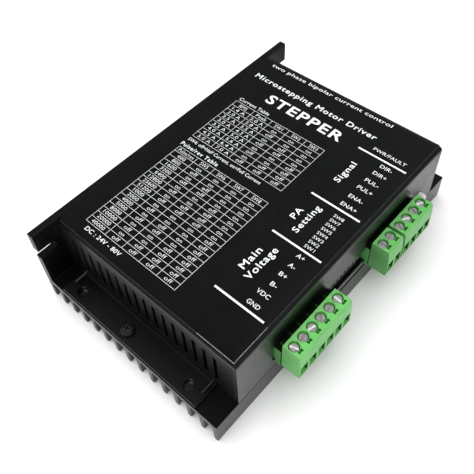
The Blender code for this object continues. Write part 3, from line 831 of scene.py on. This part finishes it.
def label_print():
    on, off = "on", "off"

    def cell_length(cell, i, j):
        return {"on": 2.5, "off": 3.5}.get(cell, None if len(cell) < 3 else min(8.4, 1.38 * len(cell)))

    # current settings
    peak = ("2.0 A", "2.8 A", "3.5 A", "4.2 A", "5.0 A", "5.6 A", "6.4 A", "7.0 A")
    mean = ("1.4 A", "2.0 A", "2.5 A", "3.0 A", "3.5 A", "4.0 A", "4.5 A", "5.0 A")
    rows = [[mean[i], peak[i], off if i & 1 else on, off if i & 2 else on, off if i & 4 else on]
            for i in range(8)]
    sheet = Print()
    table(sheet, 29.6, 1.6, (34.8, 24.2, 14.4, 5.1, -3.9, -13.0),
          ["RMS", "Peak", "SW1", "SW2", "SW3"], rows, cell_length)
    sheet.write("Current Table", 31.6, 26.2, 16.6, 1.8, "down", 0.0)
    sheet.write("SW4: off=Half Current, on=Full Current", -0.6, 15.2, 39.2, 1.65, "down", 0.002)
    sheet.done("print_current_table")

    # step settings
    steps = (400, 800, 1600, 3200, 6400, 12800, 25600, 51200, 1000, 2000, 4000, 5000,
             8000, 10000, 20000, 40000)
    rows = [[str(steps[i]), off if i & 1 else on, off if i & 2 else on, off if i & 4 else on,
             off if i & 8 else on] for i in range(16)]
    sheet = Print()
    table(sheet, -6.3, -56.8, (34.6, 23.8, 14.5, 5.2, -3.9, -13.1),
          ["Pulse/rev", "SW5", "SW6", "SW7", "SW8"], rows, cell_length)
    sheet.write("Pulse/rev Table", -4.2, 25.2, 20.4, 1.9, "down", 0.010)
    sheet.write("DC : 24V - 80V", -59.2, 22.1, 19.4, 1.8, "down", 0.006)
    sheet.done("print_step_table")

    # headings
    sheet = Print()
    sheet.write("two phase bipolar current control", 58.6, 5.8, 64.4, 1.95, "down", 0.003)
    sheet.write("Microstepping Motor Driver", 48.6, 7.1, 64.6, 2.7, "down", 0.015)
    sheet.write("STEPPER", 39.7, 5.4, 39.6, 5.2, "down", 0.020)
    sheet.done("print_headings")

    # terminal side: section rules, section names, names of the terminals
    sheet = Print()
    for x in (39.8, 8.5, -15.1, -46.4):
        sheet.rule(x, -22.4, x, -44.6, 0.80)
    sheet.write("Signal", 25.4, -26.1, 12.6, 2.6, "right", 0.012)
    sheet.write("PA", -3.0, -24.2, 5.6, 2.6, "right", 0.012)
    sheet.write("Setting", -2.9, -28.8, 15.0, 2.6, "right", 0.012)
    sheet.write("Main", -29.6, -24.3, 10.6, 2.8, "right", 0.014)
    sheet.write("Voltage", -28.9, -28.7, 16.4, 2.8, "right", 0.014)
    sheet.write("PWR/FAULT", 43.2, -35.0, 15.0, 1.65, "down", 0.002)
    for text, x, start, end in (
            ("DIR-", 36.9, -34.9, -40.3), ("DIR+", 32.3, -34.6, -40.5), ("PUL-", 27.2, -34.3, -40.4),
            ("PUL+", 22.4, -34.1, -40.7), ("ENA-", 16.7, -34.1, -40.4), ("ENA+", 11.7, -34.0, -40.9),
            ("A+", -17.9, -36.1, -39.5), ("A-", -22.8, -36.4, -39.2), ("B+", -27.8, -36.2, -39.4),
            ("B-", -32.9, -36.5, -39.2), ("VDC", -38.0, -34.6, -40.1), ("GND", -43.3, -34.7, -40.1)):
        sheet.write(text, x, (start + end) / 2, start - end, 1.8, "down", 0.002)
    for i in range(8):
        sheet.write(f"SW{i + 1}", -12.8 + 17.85 * i / 7, -37.75, 4.4, 1.45, "down", -0.002)
    sheet.done("print_terminal_names")


# ------------------------------------------------------------------ terminal blocks
PITCH = 5.08


def terminal_header(node, slot_name="green_plastic"):
    """The fixed socket: a thin-walled tray with keyways in its roof and, in front
    of the cover, a skirt down to the level of the plug's foot."""
    low, high = span(node)
    low_z = 17.25
    count = round((high.x - low.x - 1.1) / PITCH)
    left = low.x + 0.55
    bm = bmesh.new()
    add_box(bm, (low.x, low.y - 0.18, low_z), high)
    obj = mesh_object(node + "_shell", bm, [GREEN_DEEP, GREEN_ROOF_SHADE])
    skirt = bmesh.new()
    add_box(skirt, (low.x, low.y - 0.18, min(low.z, low_z - 0.1)), (high.x, COVER_FRONT - 0.3, low_z + 0.6))
    carve(obj, skirt, "UNION")
    soften(obj, 0.12, 2, 40)
    # painted shade: the inside of the tray takes the near-black roof copy of the green
    cuts = bmesh.new()
    add_box(cuts, (left + 0.25, low.y - 1, low_z + 0.9), (high.x - 0.8, high.y - 2.2, high.z - 0.9))
    shade(cuts)
    carve(obj, cuts)
    # keyways in the roof, in the same painted-shade copy of the green
    cuts = bmesh.new()
    for i in range(count):
        x = left + PITCH * (i + 0.5)
        outline = rounded([(x - 0.8, low.y - 1, 0), (x + 0.8, low.y - 1, 0), (x + 0.8, -43.0, 0.5), (x - 0.8, -43.0, 0.5)], 4)
        add_prism(cuts, outline, high.z - 1.2, high.z + 1, "Z")
        if i:
            add_box(cuts, (x - 2.66, low.y - 1, high.z - 0.3), (x - 2.42, high.y + 1, high.z + 1))
    shade(cuts)
    carve(obj, cuts)
    # painted shade: the roof and the mouth lie in the gap between cover and plug and take the near-black copy of the
    # green
    for face in obj.data.polygons:
        if face.normal.z > 0.8 or (face.normal.y < -0.8 and face.center.y < at(0, -45, 0).y):
            face.material_index = 1
    crisp(obj, 40)
    publish(obj, node, slot_name, node)
    bm = bmesh.new()
    for i in range(count):
        x = left + PITCH * (i + 0.5)
        outline = rounded([(x - 0.5, 20.9, 0.12), (x + 0.5, 20.9, 0.12), (x + 0.5, 21.9, 0.12), (x - 0.5, 21.9, 0.12)], 2)
        add_prism(bm, outline, -47.5, high.y - 1.0, "Y")
    obj = mesh_object(node + "_pins", bm, [BRASS])
    soften(obj, 0.0, angle=50)
    publish(obj, node, "plated_brass")


# gives every face of a cutter one material index; the indices pick the painted-shade copies of the green and the
# painted-highlight and painted-shade copies of the steel
def shade(bm, index=1):
    for face in bm.faces:
        face.material_index = index


def crisp(obj, angle):
    obj.data.shade_smooth()
    obj.data.set_sharp_from_angle(angle=math.radians(angle))
    normals = obj.modifiers.new("normals", "WEIGHTED_NORMAL")
    normals.keep_sharp = True
    normals.weight = 60
    return settle(obj)


def terminal_plug(node, rear):
    """The plug-in half: screw wells, waisted test slots, wire funnels."""
    low, high = span(node)
    count = round((high.x - low.x + 0.04) / PITCH)
    left, right = low.x - 0.02, high.x + 0.02
    bottom, top = low.z, high.z
    front = rear - 7.65
    tongue = high.y
    points = [(rear, bottom, 0.12), (rear, 18.55, 0.1), (tongue, 18.55, 0.35), (tongue, 24.3, 0.35),
              (rear, 24.3, 0.2), (rear, top, 0.25), (front + 0.5, top, 0.25), (front - 0.05, top - 0.75, 0.4),
              (front - 0.55, 24.0, 0.6), (front - 0.75, 16.2, 0.4), (front - 0.35, bottom, 0.35)]
    bm = bmesh.new()
    add_prism(bm, rounded(points, 3), left + 0.02, right - 0.02, "X")
    obj = mesh_object(node + "_body", bm, [GREEN_SIGNAL if node.startswith("signal") else GREEN, GREEN_SHADE, GREEN_SLOT_SHADE, GREEN_END_SHADED])
    centres = [left + PITCH * (i + 0.5) for i in range(count)]
    line = rear - 3.2
    cuts = bmesh.new()
    for a, b in ((left - 1, left + 0.75), (right - 0.75, right + 1)):
        add_box(cuts, (a, rear + 0.02, 17.0), (b, tongue + 1, 26.0))
    carve(obj, cuts)
    soften(obj, 0.13, 2, 40, clamp=True)
    # screw wells with a small lead-in
    cuts = bmesh.new()
    for x in centres:
        add_turned(cuts, [(0, -4.0), (2.12, -4.0), (2.12, -0.22), (2.42, 0.06), (2.42, 0.9), (0, 0.9)],
                   (x, line, top), 40)
    carve(obj, cuts)
    # waisted test slots in front of the screws; painted shade: their walls take a darker copy of the green
    cuts = bmesh.new()
    y = front + 1.6
    for x in centres:
        outline = [(x - 1.10, y - 0.56), (x - 0.46, y - 0.56), (x - 0.30, y - 0.38), (x + 0.30, y - 0.38),
                   (x + 0.46, y - 0.56), (x + 1.10, y - 0.56), (x + 1.10, y + 0.56), (x + 0.46, y + 0.56),
                   (x + 0.30, y + 0.38), (x - 0.30, y + 0.38), (x - 0.46, y + 0.56), (x - 1.10, y + 0.56)]
        add_prism(cuts, rounded([(u, v, 0.08) for u, v in outline], 2), top - 1.4, top + 1, "Z")
    shade(cuts, 2)
    carve(obj, cuts)
    # wire mouths: a flat sill, straight sides and a bevelled lintel; painted shade: the sides and the lintel take the
    # dark recess copy of the green
    cuts = bmesh.new()
    for x in centres:
        outline = rounded([(x - 1.98, 16.0, 0.25), (x + 1.98, 16.0, 0.25), (x + 1.98, 22.0, 0.25), (x - 1.98, 22.0, 0.25)], 3)
        add_prism(cuts, outline, front - 2, line - 1.9, "Y")
    for face in cuts.faces:
        face.normal_update()
        face.material_index = 0 if face.normal.z < -0.8 or abs(face.normal.y) > 0.8 else 1
    carve(obj, cuts)
    cuts = bmesh.new()
    for x in centres:
        face = front - 0.95
        add_taper(cuts, (x - 2.3, face, 15.75), (x + 2.3, front - 0.35, 22.35), (x - 1.9, 16.1), (x + 1.9, 21.9))
    carve(obj, cuts)
    # painted shade: the clamp chambers and the pin passages take the dark recess copy of the green
    cuts = bmesh.new()
    for x in centres:
        add_box(cuts, (x - 1.96, line - 2.05, 18.1), (x + 1.96, line + 2.0, 25.0))
        add_rod(cuts, (x, line, 25.4), "Z", 1.5, 1.6, 24)
        add_box(cuts, (x - 0.9, rear - 0.4, 20.5), (x + 0.9, tongue + 1, 22.3))
    shade(cuts)
    carve(obj, cuts)
    # painted shade: the rear face and the top of the tongue, which face the header, take the dark recess copy of the
    # green
    for face in obj.data.polygons:
        if face.normal.y > 0.9 and face.center.y > at(0, rear - 0.1, 0).y:
            face.material_index = 1
        elif face.normal.z > 0.9 and face.center.y > at(0, rear + 0.1, 0).y:
            face.material_index = 1
        # painted shade: on the signal plugs the end faces towards -x take the darker end copy of the green
        elif face.material_index == 0 and node.startswith("signal") and face.normal.x < -0.9:
            face.material_index = 3
    crisp(obj, 40)
    publish(obj, node, "green_plastic", node)
    # fixed contact bars that the wires are clamped against
    bm = bmesh.new()
    for x in centres:
        outline = rounded([(x - 0.85, 21.2, 0.1), (x + 0.85, 21.2, 0.1), (x + 0.85, 21.8, 0.1), (x - 0.85, 21.8, 0.1)], 2)
        add_prism(bm, outline, line - 1.7, line + 2.4, "Y")
        for side in (-1, 1):
            a, b = sorted((x + side * 0.55, x + side * 0.85))
            add_box(bm, (a, rear + 0.2, 20.9), (b, tongue - 1.0, 21.9))
    obj = mesh_object(node + "_contacts", bm, [BRASS])
    soften(obj, 0.0, angle=50)
    publish(obj, node, "plated_brass")


SLOT_ANGLES = {"power": (19, 102, 76, 132, 106, 177), "signal": (178, 97, 143, 54, 155, 62)}
# screws whose slots take the painted highlight; the others take the painted shade
GLINT_SLOTS = {"power": (1, 3, 6), "signal": (4, 6)}


def terminal_screws():
    for kind in ("power", "signal"):
        for i in range(6):
            node = f"{kind}_screw_{i + 1}"
            low, high = span(node)
            x, y, top = (low.x + high.x) / 2, (low.y + high.y) / 2, high.z
            bm = bmesh.new()
            add_turned(bm, [(0, low.z - top), (0.8, low.z - top), (1.0, low.z - top + 0.2), (1.0, -2.75),
                            (1.75, -2.75), (1.75, -0.28), (1.70, -0.14), (1.56, -0.03), (1.40, 0.0),
                            (0.9, 0.0), (0, 0.0)], (x, y, top), 40)
            # painted highlight: the slots of the listed screws are near white; the other slots are darker as painted
            # shade
            obj = mesh_object(f"{kind}_screw_head_{i + 1}", bm,
                              [STEEL, SLOT_GLINT_STEEL if i + 1 in GLINT_SLOTS[kind] else SLOT_SHADE_STEEL])
            cuts = bmesh.new()
            add_box(cuts, (-0.42, -2.4, -0.55), (0.42, 2.4, 1.0))
            shade(cuts)
            turn = (Matrix.Translation(at(x, y, top))
                    @ Matrix.Rotation(math.radians(SLOT_ANGLES[kind][i]), 4, "Z")
                    @ Matrix.Translation(-at(0, 0, 0)))
            bmesh.ops.transform(cuts, matrix=turn, verts=cuts.verts)
            carve(obj, cuts)
            soften(obj, 0.05, 2, 45, clamp=True)
            publish(obj, node, "plated_steel", node)


# ------------------------------------------------------------------ cover screws
def cover_screws():
    for i in (1, 2):
        node = f"cover_screw_{i}"
        low, high = span(node)
        x, y = (low.x + high.x) / 2, (low.y + high.y) / 2
        seat, top = high.z - 1.9, high.z
        bm = bmesh.new()
        profile = [(0, low.z - top), (1.1, low.z - top), (1.35, low.z - top + 0.3), (1.35, seat - top),
                   (2.75, seat - top), (2.8, seat - top + 0.12)]
        for k in range(7):
            a = math.pi / 2 * k / 6
            profile.append((1.0 + 1.8 * math.cos(a) ** 0.8, seat - top + 0.55 + 1.35 * math.sin(a)))
        profile += [(0, 0)]
        add_turned(bm, profile, (x, y, top), 40)
        obj = mesh_object(f"pan_head_{i}", bm, [OXIDE])
        for dx, dy in ((1.55, 0.36), (0.36, 1.55)):
            cuts = bmesh.new()
            verts = add_box(cuts, (x - dx, y - dy, top - 1.1), (x + dx, y + dy, top + 0.6))
            bottom = min(v.co.z for v in verts)
            centre = at(x, y, 0)
            for v in verts:
                if abs(v.co.z - bottom) < 1e-7:
                    v.co.x = centre.x + (v.co.x - centre.x) * 0.55
                    v.co.y = centre.y + (v.co.y - centre.y) * 0.55
            turn = (Matrix.Translation(at(x, y, 0)) @ Matrix.Rotation(math.radians(27), 4, "Z")
                    @ Matrix.Translation(-at(x, y, 0)))
            bmesh.ops.transform(cuts, matrix=turn, verts=cuts.verts)
            carve(obj, cuts)
        soften(obj, 0.06, 2, 45, clamp=True)
        publish(obj, node, "plated_steel", node)


# ------------------------------------------------------------------ switch and LED
def switch():
    low, high = span("switch_housing")
    centre = (low.x + high.x) / 2
    xs = [centre + 2.54 * (i - 3.5) for i in range(8)]
    bm = bmesh.new()
    add_box(bm, low, high)
    obj = mesh_object("switch_case", bm, [BLACK_PLASTIC])
    cuts = bmesh.new()
    for x in xs:
        add_box(cuts, (x - 0.78, low.y - 1, 20.1), (x + 0.78, low.y + 1.8, 24.9))
    add_box(cuts, (low.x - 1, low.y - 1, high.z - 0.9), (high.x + 1, low.y + 0.5, high.z + 1))
    carve(obj, cuts)
    soften(obj, 0.1, 2, 40)
    publish(obj, "switch_housing", "black_plastic", "switch_housing")
    # the sliders
    for i, x in enumerate(xs, 1):
        node = f"switch_slider_{i}"
        a, b = span(node)
        bm = bmesh.new()
        # grip: a stepped tooth with two finger ridges
        add_prism(bm, rounded([(a.y, a.z + 0.15, 0.1), (a.y + 0.25, a.z, 0.1), (b.y, a.z, 0.1), (b.y, b.z, 0.1),
                               (a.y + 0.25, b.z, 0.1), (a.y, b.z - 0.15, 0.1), (a.y, b.z - 0.65, 0.08),
                               (a.y + 0.2, b.z - 0.8, 0.08), (a.y + 0.2, a.z + 0.8, 0.08), (a.y, a.z + 0.65, 0.08)], 2),
                  a.x, b.x, "X")
        obj = mesh_object(f"slider_{i}", bm, [SLIDER])
        soften(obj, 0.06, 2, 45)
        publish(obj, node, "white_plastic", node)


def led():
    low, high = span("status_led")
    x, z = (low.x + high.x) / 2, 21.5
    tip = low.y
    bm = bmesh.new()
    profile = [(0, -3.7), (1.9, -3.7), (1.9, -2.7), (1.5, -2.7)]
    profile = [(0, 0), (1.6, 0), (1.6, 5.4)]
    for k in range(9):
        a = math.pi / 2 * k / 8
        profile.append((1.55 * math.cos(a), 5.6 + 1.6 * math.sin(a)))
    length = profile[-1][1]
    add_turned(bm, [(r, h - length) for r, h in profile], (x, tip, z), 36, "-Y")
    obj = mesh_object("led_lens", bm, [LENS])
    soften(obj, 0.0, angle=50)
    publish(obj, "status_led", "clear_lens", "status_led")


# ------------------------------------------------------------------ carried-over nodes
def dress_nodes():
    for name, obj in frame["nodes"].items():
        slot = None
        for material in frame["record"].get("materials", []):
            if name in material.get("nodes", []):
                slot = material.get("slot")
        finish = SLOT_FINISH.get(slot, BLACK_PLASTIC)
        if name.startswith("board_screw") or name.startswith("clamp_screw"):
            finish = STEEL
        if not obj.data.materials:
            obj.data.materials.append(finish)
        for i in range(len(obj.data.materials)):
            obj.data.materials[i] = finish


# ------------------------------------------------------------------ stage
def stage():
    bm = bmesh.new()
    bmesh.ops.create_grid(bm, x_segments=8, y_segments=8, size=2.5)
    floor = mesh_object("studio_floor", bm)
    floor.location = (0, 0, CAD_BOX[0][2])
    s = Surface("studio_white", ior=1.3, Specular_IOR_Level=0.1)
    s.color(s.mix(s.spread(s.noise(160.0, 3.0), 0, 1), (0.90, 0.90, 0.90), (0.93, 0.93, 0.93)))
    s.rough(s.spread(s.noise(40.0, 3.0), 0.75, 0.9))
    # in reflections the white sheet ends a short way from the object
    apart = s.node("ShaderNodeVectorMath", operation="ABSOLUTE")
    s.join(s.coords.outputs["Object"], apart.inputs[0])
    parts = s.node("ShaderNodeSeparateXYZ")
    s.join(apart.outputs["Vector"], parts.inputs[0])
    reach = s.node("ShaderNodeMath", operation="MAXIMUM")
    s.join(parts.outputs["X"], reach.inputs[0])
    s.join(parts.outputs["Y"], reach.inputs[1])
    far = s.node("ShaderNodeMapRange", interpolation_type="SMOOTHSTEP")
    for socket, value in (("From Min", 0.088), ("From Max", 0.116), ("To Min", 0.0), ("To Max", 0.94)):
        far.inputs[socket].default_value = value
    s.join(reach.outputs[0], far.inputs["Value"])
    path = s.node("ShaderNodeLightPath")
    amount = s.node("ShaderNodeMath", operation="MULTIPLY")
    s.join(far.outputs["Result"], amount.inputs[0])
    s.join(path.outputs["Is Glossy Ray"], amount.inputs[1])
    dark = s.node("ShaderNodeBsdfDiffuse")
    dark.inputs["Color"].default_value = (0.10, 0.10, 0.10, 1.0)
    blend = s.node("ShaderNodeMixShader")
    s.join(amount.outputs[0], blend.inputs[0])
    s.join(s.bsdf.outputs[0], blend.inputs[1])
    s.join(dark.outputs[0], blend.inputs[2])
    s.join(blend.outputs[0], s.tree.nodes["Material Output"].inputs["Surface"])
    floor.data.materials.append(s.mat)


def area(name, where, aim, size, power, color=(1, 1, 1), glossy=True):
    light = bpy.data.lights.new(name, "AREA")
    light.shape = "RECTANGLE"
    light.size, light.size_y = size
    light.energy = power
    light.color = color
    obj = link(bpy.data.objects.new(name, light))
    obj.location = where
    obj.rotation_euler = (Vector(aim) - Vector(where)).to_track_quat("-Z", "Y").to_euler()
    obj.visible_glossy = glossy
    return obj


def lights():
    area("overhead", (-0.20, 0.19, 1.20), (0, 0, 0), (1.8, 1.8), 21.5, glossy=False)
    area("fill", (0.75, -1.0, 0.85), (0, 0, 0.02), (0.9, 0.7), 1.0, (1.0, 0.99, 0.97), glossy=False)
    world = bpy.data.worlds.new("studio")
    bpy.context.scene.world = world
    world.use_nodes = True
    tree = world.node_tree
    tree.nodes.clear()

    def node(kind, **values):
        n = tree.nodes.new(kind)
        for key, value in values.items():
            setattr(n, key, value)
        return n

    out = node("ShaderNodeOutputWorld")
    coords = node("ShaderNodeTexCoord")
    split = node("ShaderNodeSeparateXYZ")
    tree.links.new(coords.outputs["Generated"], split.inputs[0])
    # reflections: a dim room, a little lighter towards +x -y
    diagonal = node("ShaderNodeMath", operation="SUBTRACT")
    tree.links.new(split.outputs["X"], diagonal.inputs[0])
    tree.links.new(split.outputs["Y"], diagonal.inputs[1])
    side = node("ShaderNodeMapRange", interpolation_type="SMOOTHSTEP")
    for socket, value in (("From Min", -0.25), ("From Max", 0.75), ("To Min", 0.16), ("To Max", 0.26)):
        side.inputs[socket].default_value = value
    tree.links.new(diagonal.outputs[0], side.inputs["Value"])
    height = node("ShaderNodeMapRange", interpolation_type="SMOOTHSTEP")
    for socket, value in (("From Min", 0.05), ("From Max", 0.45), ("To Min", 1.0), ("To Max", 0.92)):
        height.inputs[socket].default_value = value
    tree.links.new(split.outputs["Z"], height.inputs["Value"])
    product = node("ShaderNodeMath", operation="MULTIPLY")
    tree.links.new(side.outputs["Result"], product.inputs[0])
    tree.links.new(height.outputs["Result"], product.inputs[1])
    mirror = node("ShaderNodeBackground")
    mirror.inputs["Color"].default_value = (0.97, 0.98, 1.0, 1)
    tree.links.new(product.outputs[0], mirror.inputs["Strength"])
    ambient = node("ShaderNodeBackground")
    ambient.inputs["Color"].default_value = (1, 1, 1, 1)
    ambient.inputs["Strength"].default_value = 0.62
    path = node("ShaderNodeLightPath")
    choose = node("ShaderNodeMixShader")
    tree.links.new(path.outputs["Is Glossy Ray"], choose.inputs[0])
    tree.links.new(ambient.outputs[0], choose.inputs[1])
    tree.links.new(mirror.outputs[0], choose.inputs[2])
    tree.links.new(choose.outputs[0], out.inputs["Surface"])


def camera():
    """At the photograph's viewing angle, fitted to a 474 x 474 frame."""
    azimuth, elevation, roll = (math.radians(v) for v in (-44.62, 50.37, -4.17))
    back = Vector((math.sin(azimuth) * math.cos(elevation),
                   -math.cos(azimuth) * math.cos(elevation), math.sin(elevation)))
    right = (-back).cross(Vector((0, 0, 1))).normalized()
    up = right.cross(-back)
    side = math.cos(roll) * right + math.sin(roll) * up
    head = -math.sin(roll) * right + math.cos(roll) * up
    data = bpy.data.cameras.new("camera")
    data.sensor_width = 36.0
    data.lens = 36.0 * 637.43 / 474
    data.shift_x = (237 - 226.53) / 474
    data.shift_y = (199.01 - 237) / 474
    data.clip_start = 0.01
    data.clip_end = 20.0
    obj = link(bpy.data.objects.new("camera", data))
    matrix = Matrix((side, head, back)).transposed().to_4x4()
    matrix.translation = at(-124.82, -110.80, 232.36)
    obj.matrix_world = matrix
    bpy.context.scene.camera = obj


camera()
stage()
lights()
dress_nodes()
heatsink()
cover()
film()
label_print()
for header_node in ("power_header", "signal_header_a", "signal_header_b"):
    terminal_header(header_node)
terminal_plug("power_plug", -50.3)
terminal_plug("signal_plug_a", -49.3)
terminal_plug("signal_plug_b", -49.3)
terminal_screws()
cover_screws()
switch()
led()

bpy.context.scene.view_settings.view_transform = "Standard"
bpy.context.scene.view_settings.look = "None"
